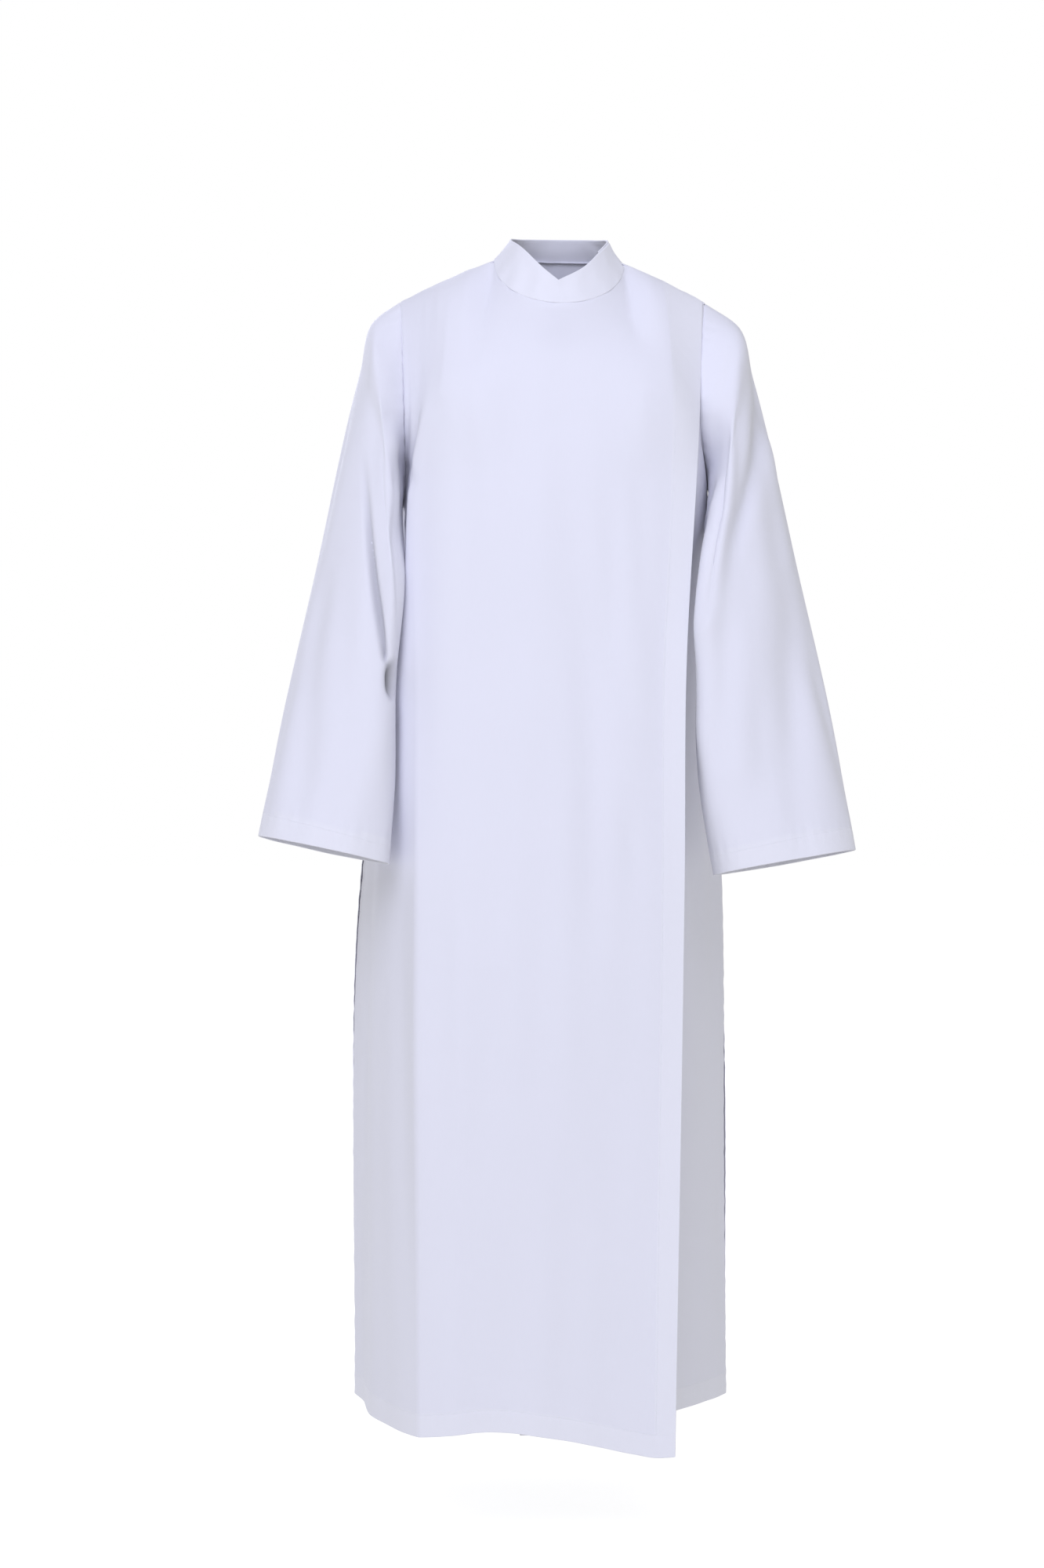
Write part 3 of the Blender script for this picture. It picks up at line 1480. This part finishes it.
RIGHT_SLEEVE_CREASES = (
    Crease(
        ((-241, -214), (-237, -262), (-231, -330), (-223, -400), (-208, -492)),
        4.4, 9.0, 0.2, (0.6, 0.05), grey=0.36,
    ),
    Crease(((-203, -480), (-200, -510), (-197, -540)), 8, 16.0, 0.0, (0.45, 0.45), grey=0.86),
    Crease(
        ((-214, -130), (-213, -215), (-210, -280), (-204, -350), (-199, -440)),
        14, 6.0, 0.0, (0.3, 0.4),
    ),
    Crease(((-203, -180), (-203, -240), (-200, -290), (-197, -340)), 8, -9.0, 0.0, (0.3, 0.4)),
    Crease(((-211, -78), (-217, -126), (-211, -180)), 8, 1.6, -0.2, (0.2, 0.4)),
    Crease(((-194, -120), (-188, -174), (-181, -212)), 7, 1.8, -0.2, (0.3, 0.3)),
    Crease(((-198, -222), (-193, -246), (-187, -272)), 5, 4.0, 0.2, (0.4, 0.3)),
    Crease(((-262, -300), (-268, -420), (-262, -560)), 24, 1.8, 0.2, (0.4, 0.5)),
    Crease(((-300, -440), (-306, -560), (-300, -700)), 26, 1.6, 0.0, (0.5, 0.3)),
    Crease(((-222, -90), (-234, -200), (-220, -340)), 13, 6.0, -0.3, (0.15, 0.4), Facing.BACK),
    Crease(((-262, -350), (-268, -470), (-260, -630)), 20, 3.2, -0.2, (0.4, 0.4), Facing.BACK),
    Crease(((-18, -140), (-30, -290), (-62, -450)), 16, 3.0, 0.2, (0.3, 0.5), Facing.RIGHT),
    Crease(((-70, -430), (-80, -550), (-90, -680)), 15, 2.0, 0.0, (0.4, 0.3), Facing.RIGHT),
)


@dataclass(frozen=True)
class Sleeve:
    """A sleeve, which is a tube from its armhole to its cuff.

    sign is 1 on the left arm. front is the panel in front of its armhole. squareness and flatness
    are the powers that make it squarer in front by the body and flatter behind. Its waves grow
    over wave_columns on either side of its outer edge and over the first wave_reach of cloth below
    its armhole, and its creases over the first crease_reach. tuck is how far its top goes into the
    armhole, towards the body and inwards.
    """

    name: str
    sign: int
    front: BodyPanel
    rings: tuple[Ring, ...]
    folds: tuple[Fold, ...]
    creases: tuple[Crease, ...]
    unevenness: Unevenness
    seed: int
    flat: tuple[float, float] = (0.48, 0.70)
    area: float = 0.27
    columns: int = 216
    squareness: float = 0.80
    flatness: float = 1.50
    wave_columns: int = 10
    wave_reach: float = 0.05
    crease_reach: float = 0.030
    tuck: tuple[float, float] = (0.0035, 0.0022)

    def armhole(self) -> np.ndarray:
        """Works out the armhole.

        Returns:
            Its points, down its front edge and up its back edge.
        """
        down = np.linspace(0, CHEST_ROW, self.columns // 2 + 1)
        # The second column is there for the cloth's normals
        places = np.array([0.0, 0.010])
        before = self.front.smooth_points(places, down)[:, 0]
        behind = replace(self.front, side=1, inset=(0.0, 0.0)).smooth_points(places, down)[:, 0]
        return np.vstack([before, behind[-2:0:-1]])

    def section(self, turn: np.ndarray, shaped: float) -> tuple[np.ndarray, np.ndarray]:
        """Works out a ring's shape, which by the body is squarer in front and flatter behind.

        Args:
            turn: Places round the ring, 0 at its outer edge and pi / 2 in front.
            shaped: How far it departs from an ellipse.

        Returns:
            How far out and how far forward it reaches at each, from -1 to 1.
        """
        outwards, forward = np.cos(turn), np.sin(turn)
        by_body = np.where(forward > 0, self.squareness, self.flatness)
        power = np.where(outwards < 0, 1 + (by_body - 1) * shaped, 1.0)
        out = np.sign(outwards) * np.abs(outwards) ** power
        return out, np.sign(forward) * np.abs(forward) ** power

    def loops(self) -> np.ndarray:
        """Works out the sleeve's sections.

        Returns:
            The points of its armhole and of each ring, one row each.
        """
        turn = 2 * np.pi * np.arange(self.columns) / self.columns
        loops = [self.armhole()]
        for ring in self.rings:
            outwards, forward = self.section(turn, ring.shaped)
            outer, inner = np.array(ring.outer), np.array(ring.inner)
            loop = (outer + inner) / 2 + outwards[:, None] * (outer - inner) / 2
            loop[:, 1] -= ring.depth * forward
            loop[:, 2] += ring.back_drop * (forward - 1) / 2
            loop[:, 0] *= self.sign
            loops.append(loop * MM)
        return np.array(loops)

    def grid(self) -> ClothGrid:
        """Works out the sleeve as it hangs.

        Returns:
            The middle of its cloth.
        """
        loops = self.loops()
        knots = (0.0, *(ring.along for ring in self.rings))
        length = np.linalg.norm(np.subtract(self.rings[-1].outer, self.rings[0].outer)) * MM
        down = spread(length, SIZES.grid_step, (*SIZES.roll_places, *SIZES.hem_places(length)))
        share = down / length
        columns = [curve_through(knots, loops[:, i], share) for i in range(self.columns)]
        cuff = np.linalg.norm(np.diff(loops[-1], axis=0, append=loops[-1][:1]), axis=1)
        across = np.concatenate([[0], np.cumsum(cuff)])
        cloth = ClothGrid(np.stack(columns, axis=1), across, down, float(-self.sign), closed=True)
        column = np.arange(self.columns)
        around = column / self.columns
        cloth.press(sum(fold.depth_at(around, share, closed=True) for fold in self.folds))
        from_outer = np.minimum(column, self.columns - column)
        calm = ease(from_outer / self.wave_columns) * ease(down / self.wave_reach)[:, None]
        depth = self.unevenness.depth_at(across[:-1], down) * calm
        cloth.add_creases(self.creases, depth, ease(down / self.crease_reach)[:, None])
        cloth.press(self.seam_depths(cloth))
        sideways, inward = self.tuck
        tucked = cloth.points[0] - cloth.outward()[0] * inward
        tucked[:, 0] -= self.sign * sideways
        cloth.tuck_in(tucked, sideways)
        return cloth

    def seam_depths(self, cloth: ClothGrid) -> np.ndarray:
        """Works out how the armhole seam rolls in and how it and the cuff's hem pucker.

        Args:
            cloth: The sleeve's cloth.

        Returns:
            The depths at each point.
        """
        along, away = lengths_along(cloth.points, 1), cloth.from_edge(Edge.TOP)
        depth = SIZES.rolled(away) + ARMHOLE_PUCKER.depth_at(along, away, self.seed)
        away = np.abs(cloth.from_edge(Edge.HEM) - SIZES.stitch_line())
        return depth + SIZES.sunk(away) + HEM_PUCKER.depth_at(along, away, self.seed + 1)

    def build(self, room: Workroom) -> bpy.types.Object:
        """Makes the sleeve and its stitching.

        Args:
            room: The shared materials and sewing.

        Returns:
            The sleeve's object.
        """
        cloth = self.grid()
        turned = (cloth.from_edge(Edge.HEM) <= SIZES.hem_depth + HAIR).astype(float)
        piece = hemmed_shell(self.name, cloth, turned)
        room.dress(piece, room.cloth)
        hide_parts(self.name)
        row = stitch_index(cloth.down)
        path, normals = hem_face(cloth)[row], cloth.outward()[row]
        closed = (np.vstack([path, path[:1]]), np.vstack([normals, normals[:1]]))
        stitches = room.sew(self.name, [closed])
        return piece


# ---------------------------------------------------------------------------------------------
# Collar


@dataclass(frozen=True)
class CollarPoint:
    """A point of the collar's top edge, and its share of the way round from the notch."""

    name: str
    share: float
    top: tuple[float, float, float]


COLLAR_TOP = (
    CollarPoint("notch", 0.000, (1.5, -78, -19)),
    CollarPoint("left of notch", 0.085, (33.1, -64, -1.4)),
    CollarPoint("left front", 0.150, (50.9, -44, 17.2)),
    CollarPoint("left side", 0.250, (65.7, -6, 36.5)),
    CollarPoint("left of back", 0.375, (48, 46, 45)),
    CollarPoint("back", 0.500, (3, 66, 48)),
    CollarPoint("right of back", 0.625, (-42, 46, 46)),
    CollarPoint("right side", 0.750, (-57, -6, 39)),
    CollarPoint("right front", 0.860, (-40, -48, 21.4)),
    CollarPoint("right of notch", 0.920, (-20.1, -68, -0.4)),
)

COLLAR_CREASES = (
    Crease(((58, 22), (60, 2), (62, -16)), 4.5, 1.0, 0.0, (0.3, 0.3), grey=0.12),
    Crease(((72, 22), (77, 8), (82, -4)), 5, 1.0, 0.0, (0.3, 0.3), grey=0.12),
    Crease(((-46, 14), (-52, 2), (-60, -12)), 6, 0.8, 0.0, (0.4, 0.4), grey=0.03),
)


@dataclass(frozen=True)
class Collar:
    """The standing collar: one stiffened band that laps over itself at the wearer's left.

    end is the share of the way round at which it ends outside, overlap how much further it runs
    inside, lap how far inside it lies there and lap_over the shares before and after the end over
    which it moves in. levels are where its first rows lie, as shares of its height, and as many
    more as rows says follow evenly from even_from to its seam. belly is how far it bows out. Its
    waves and creases grow over the first wave_reach and crease_reach of its height.
    """

    name: str = "collar"
    end: float = 0.235
    overlap: float = 0.075
    lap: float = 0.0036
    lap_over: tuple[float, float] = (0.02, 0.10)
    thickness: float = 0.0022
    below_seam: float = 0.0003
    levels: tuple[float, ...] = (0.0, 0.03, 0.07)
    even_from: float = 0.12
    rows: int = 10
    columns: int = 300
    stitch_row: int = 3
    belly: float = 0.0012
    unevenness: Unevenness = Unevenness(7, (0.03, 0.09), (0.05, 0.2), 0.0004)
    wave_reach: float = 0.3
    crease_reach: float = 0.5
    creases: tuple[Crease, ...] = COLLAR_CREASES
    flat: tuple[float, float] = (0.50, 0.05)
    area: float = 0.0215

    def top_edge(self, share: np.ndarray) -> np.ndarray:
        """Works out the band's top edge, with a corner at the notch.

        Args:
            share: Shares of the way round from the notch.

        Returns:
            A point for each.
        """
        knots = np.array([point.share for point in COLLAR_TOP])
        points = np.array([point.top for point in COLLAR_TOP]) * MM
        around = np.concatenate([knots - 1, knots, knots + 1])
        notch = np.isclose(np.mod(around, 1.0), 0.0)
        return curve_through(around, np.tile(points, (3, 1)), np.mod(share, 1.0), notch)

    def grid(self) -> ClothGrid:
        """Works out the middle of the band, from its top edge to just below its seam.

        Returns:
            The middle of its cloth.
        """
        inner_end = self.end - 1
        share = np.linspace(self.end, inner_end - self.overlap, self.columns)
        share[np.abs(share).argmin()] = 0.0
        top = self.top_edge(share)
        seam = np.array([UPPER_BODY.neckline(np.pi / 2 - 2 * np.pi * place) for place in share])
        height = float(np.linalg.norm(seam - top, axis=1).mean())
        even = np.linspace(self.even_from, 1.0, self.rows)
        level = np.array([*self.levels, *even, 1 + self.below_seam / height])
        grid = top + (seam - top) * level[:, None, None]
        before, after = self.lap_over
        lap = np.interp(share, (inner_end - before, inner_end + after), (self.lap, 0.0))
        plan = grid[:, :, :2] - (UPPER_BODY.neck_centre_x, 0.0)
        grid[:, :, :2] -= unit(plan) * lap[None, :, None]
        cloth = ClothGrid(grid, lengths_along(seam, 0), level * height, 1.0)
        bow = -self.belly * np.sin(np.pi * np.clip(level, 0, 1))
        wave = self.unevenness.depth_at(cloth.across, cloth.down)
        depth = bow[:, None] + wave * ease(level / self.wave_reach)[:, None]
        cloth.add_creases(self.creases, depth, ease(level / self.crease_reach)[:, None])
        return cloth

    def build(self, room: Workroom) -> bpy.types.Object:
        """Makes the collar and its stitching.

        Args:
            room: The shared materials and sewing.

        Returns:
            The collar's object.
        """
        cloth = self.grid()
        half = np.full(cloth.points.shape[:2], self.thickness / 2)
        piece = shell_object(self.name, cloth, half, half, np.ones(half.shape))
        room.dress(piece, room.cloth)
        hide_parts(self.name)
        normals = cloth.outward()[self.stitch_row]
        path = cloth.points[self.stitch_row] + normals * self.thickness / 2
        stitches = room.sew(self.name, [(path, normals)])
        return piece


# ---------------------------------------------------------------------------------------------
# Studio


@dataclass(frozen=True)
class SoftLight:
    """A round soft light: its place, its width and its power in watts."""

    name: str
    place: tuple[float, float, float]
    width: float
    power: float
    colour: tuple[float, float, float] = (0.76, 0.785, 1.0)


@dataclass(frozen=True)
class Studio:
    """The camera, lights, white world and floor.

    world_light and floor_glow hold how bright each is as a light and as it is seen.
    """

    camera_place: tuple[float, float, float] = (-0.0433, -4.2, -0.50)
    camera_target: tuple[float, float, float] = (-0.0433, 0.0, -0.640)
    lens: float = 76.75
    sensor: float = 36.0
    lights: tuple[SoftLight, ...] = (
        SoftLight("key", (-0.9, -5.0, 3.2), 5.0, 240.0),
        SoftLight("back light", (-1.9, 5.2, 1.6), 2.4, 110.0),
    )
    world_light: tuple[float, float] = (0.53, 1.0)
    floor_z: float = -1.56
    floor_half: float = 14.0
    floor_colour: tuple[float, float, float] = (0.42, 0.42, 0.40)
    floor_glow: tuple[float, float] = (0.45, 0.80)

    def aim(self, name: str, thing: bpy.types.ID, place: tuple[float, ...]) -> bpy.types.Object:
        """Places a camera or light so that it looks at the robe.

        Args:
            name: The name of its object.
            thing: The camera or light.
            place: Where it stands.

        Returns:
            Its object.
        """
        holder = bpy.data.objects.new(name, thing)
        holder.location = place
        direction = Vector(self.camera_target) - Vector(place)
        holder.rotation_euler = direction.to_track_quat("-Z", "Y").to_euler()
        bpy.context.scene.collection.objects.link(holder)
        return holder

    def set_camera(self) -> None:
        """Sets up the camera."""
        camera = bpy.data.cameras.new("camera")
        camera.sensor_fit = "VERTICAL"
        camera.sensor_height = self.sensor
        camera.lens = self.lens
        bpy.context.scene.camera = self.aim("camera", camera, self.camera_place)
        bpy.context.scene.view_settings.view_transform = "Standard"

    def hang_lights(self) -> None:
        """Hangs the lights."""
        for soft in self.lights:
            light = bpy.data.lights.new(soft.name, "AREA")
            light.shape = "DISK"
            light.size = soft.width
            light.energy = soft.power
            light.color = soft.colour
            self.aim(soft.name, light, soft.place)

    def seen_or_cast(self, build: NodeBuilder, levels: tuple[float, float]) -> bpy.types.NodeSocket:
        """Tells how bright something white is as a light from how bright it is as it is seen.

        Args:
            build: The builder of its tree.
            levels: The two strengths.

        Returns:
            The strength, as a socket.
        """
        cast, seen = levels
        rays = build.add("ShaderNodeLightPath")
        spans = {"Value": rays.outputs["Is Camera Ray"], "To Min": cast, "To Max": seen}
        return build.add("ShaderNodeMapRange", spans).outputs[0]

    def light_world(self) -> None:
        """Makes the world white."""
        world = bpy.data.worlds.new("white studio")
        world.use_nodes = True
        build = NodeBuilder(world.node_tree)
        background = world.node_tree.nodes["Background"]
        background.inputs["Color"].default_value = (1.0, 1.0, 1.0, 1.0)
        build.give(background, {"Strength": self.seen_or_cast(build, self.world_light)})
        bpy.context.scene.world = world

    def lay_floor(self) -> None:
        """Lays the floor, which is as white as the world where it is seen."""
        half = self.floor_half
        corners = np.array([(-half, -half), (half, -half), (half, half), (-half, half)])
        vertices = np.column_stack([corners, np.full(len(corners), self.floor_z)])
        floor = mesh_object("floor", vertices, np.array([[0, 1, 2, 3]]))
        material = bpy.data.materials.new("pale floor")
        material.use_nodes = True
        surface = material.node_tree.nodes["Principled BSDF"]
        surface.inputs["Base Color"].default_value = (*self.floor_colour, 1.0)
        surface.inputs["Roughness"].default_value = 1.0
        surface.inputs["Specular IOR Level"].default_value = 0.0
        surface.inputs["Emission Color"].default_value = (1.0, 1.0, 1.0, 1.0)
        build = NodeBuilder(material.node_tree)
        build.give(surface, {"Emission Strength": self.seen_or_cast(build, self.floor_glow)})
        floor.data.materials.append(material)

    def build(self) -> None:
        """Sets up the camera, lights, world and floor."""
        self.set_camera()
        self.hang_lights()
        self.light_world()
        self.lay_floor()


# ---------------------------------------------------------------------------------------------
# The whole robe

FRONT_OUTER = BodyPanel(
    "front_outer", FRONT_LINES, -1, FRONT_FOLDS, FRONT_CREASES,
    Unevenness(11, (0.05, 0.16), (0.5, 1.6), 0.0006), (0.62, 1.52), 0.73, edge_hem=True, seed=100,
)
FRONT_UNDER = BodyPanel(
    "front_under", UNDER_LINES, -1, UNDER_FOLDS, UNDER_CREASES,
    Unevenness(12, (0.05, 0.14), (0.5, 1.4), 0.0007), (0.46, 1.50), 0.50, edge_hem=True,
    inset=(0.0022, 0.0032), seed=200,
)
BACK = BodyPanel(
    "back", BACK_LINES, 1, BACK_FOLDS, BACK_CREASES,
    Unevenness(13, (0.06, 0.16), (0.5, 1.6), 0.0007), (0.60, 1.50), 0.76, seed=300,
)
SLEEVES = (
    Sleeve(
        "sleeve_left", 1, FRONT_UNDER, LEFT_RINGS, LEFT_SLEEVE_FOLDS, LEFT_SLEEVE_CREASES,
        Unevenness(14, (0.05, 0.12), (0.25, 0.9), 0.0007), seed=400,
    ),
    Sleeve(
        "sleeve_right", -1, FRONT_OUTER, RIGHT_RINGS, RIGHT_SLEEVE_FOLDS, RIGHT_SLEEVE_CREASES,
        Unevenness(15, (0.05, 0.12), (0.25, 0.9), 0.0007), seed=500,
    ),
)


def main() -> None:
    """Builds the robe on its frame and reports each piece."""
    logging.basicConfig(level=logging.INFO, format="%(message)s")
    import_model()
    Studio().build()
    room = Workroom(CLOTH.material(Weave().group()), THREAD.material(), Stitching())
    for part in (FRONT_OUTER, FRONT_UNDER, BACK, *SLEEVES, Collar()):
        piece = part.build(room)
        LOG.info("%s: %d faces", piece.name, len(piece.data.polygons))


if __name__ == "__main__":
    main()
